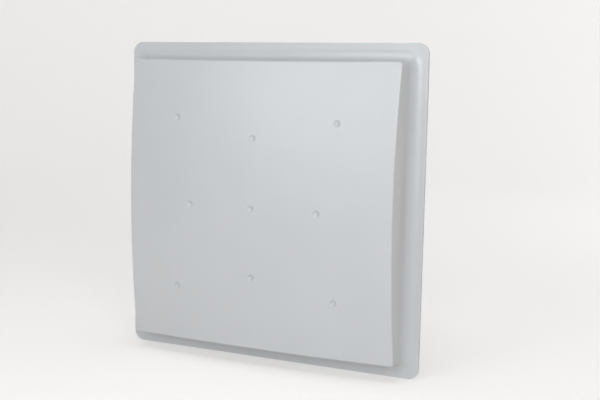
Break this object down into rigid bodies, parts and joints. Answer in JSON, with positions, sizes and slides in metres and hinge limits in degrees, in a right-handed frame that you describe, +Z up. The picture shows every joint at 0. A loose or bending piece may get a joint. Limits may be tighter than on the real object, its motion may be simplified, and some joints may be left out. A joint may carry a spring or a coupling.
{
  "type": "security gate panel antenna",
  "caption": "Square flat panel antenna for a security gate: light grey crowned plastic cover with a flat flange on a metal back plate, with rear studs and a coaxial socket.",
  "frame": {"origin": "centre of the rear face of the back plate, in the middle of the four mounting studs", "axes": "+Z up, +X to the right as the cover is seen, -Y out of the cover's front, +Y out of the rear towards the wall"},
  "size_m": [0.45, 0.0863, 0.45],
  "materials": {
    "cover_plastic": "fine satin texture, light cool grey",
    "plate_aluminium": "mill finish",
    "foam_tape": "matt",
    "post_nylon": "natural nylon",
    "brass": "turned",
    "patch_aluminium": "mill finish",
    "tinned_strip": "tinned, dull",
    "stainless_steel": "satin",
    "seal_rubber": "matt",
    "nickel_plating": "bright nickel plate",
    "white_dielectric": "waxy white",
    "gold_contact": "gold flash",
    "black_plastic": "fine texture",
    "blank_label": "satin film with an empty ruled frame, no lettering"
  },
  "bodies": {
    "root": {"centre_post": "post_nylon", "feed_probe_lower_left": "brass", "feed_probe_lower_right": "brass", "feed_probe_upper_left": "brass", "feed_probe_upper_right": "brass", "feed_strip": "tinned_strip", "mounting_studs": "stainless_steel", "patch_lower_left": "patch_aluminium", "patch_lower_right": "patch_aluminium", "patch_post_lower_left": "post_nylon", "patch_post_lower_right": "post_nylon", "patch_post_upper_left": "post_nylon", "patch_post_upper_right": "post_nylon", "patch_standoff_lower_left": "brass", "patch_standoff_lower_right": "brass", "patch_standoff_upper_left": "brass", "patch_standoff_upper_right": "brass", "patch_upper_left": "patch_aluminium", "patch_upper_right": "patch_aluminium", "perimeter_tape": "foam_tape", "post_screws": "stainless_steel", "post_seals": "seal_rubber", "radome": "cover_plastic", "rating_label": "blank_label", "reflector_plate": "plate_aluminium", "side_post_bottom": "post_nylon", "side_post_left": "post_nylon", "side_post_right": "post_nylon", "side_post_top": "post_nylon", "socket_body": "nickel_plating", "socket_contact": "gold_contact", "socket_gasket": "seal_rubber", "socket_insulator": "white_dielectric", "socket_nuts": "stainless_steel", "socket_screws": "stainless_steel", "strip_spacers": "post_nylon", "vent_membrane": "white_dielectric", "vent_plug": "black_plastic"}
  },
  "joints": []
}
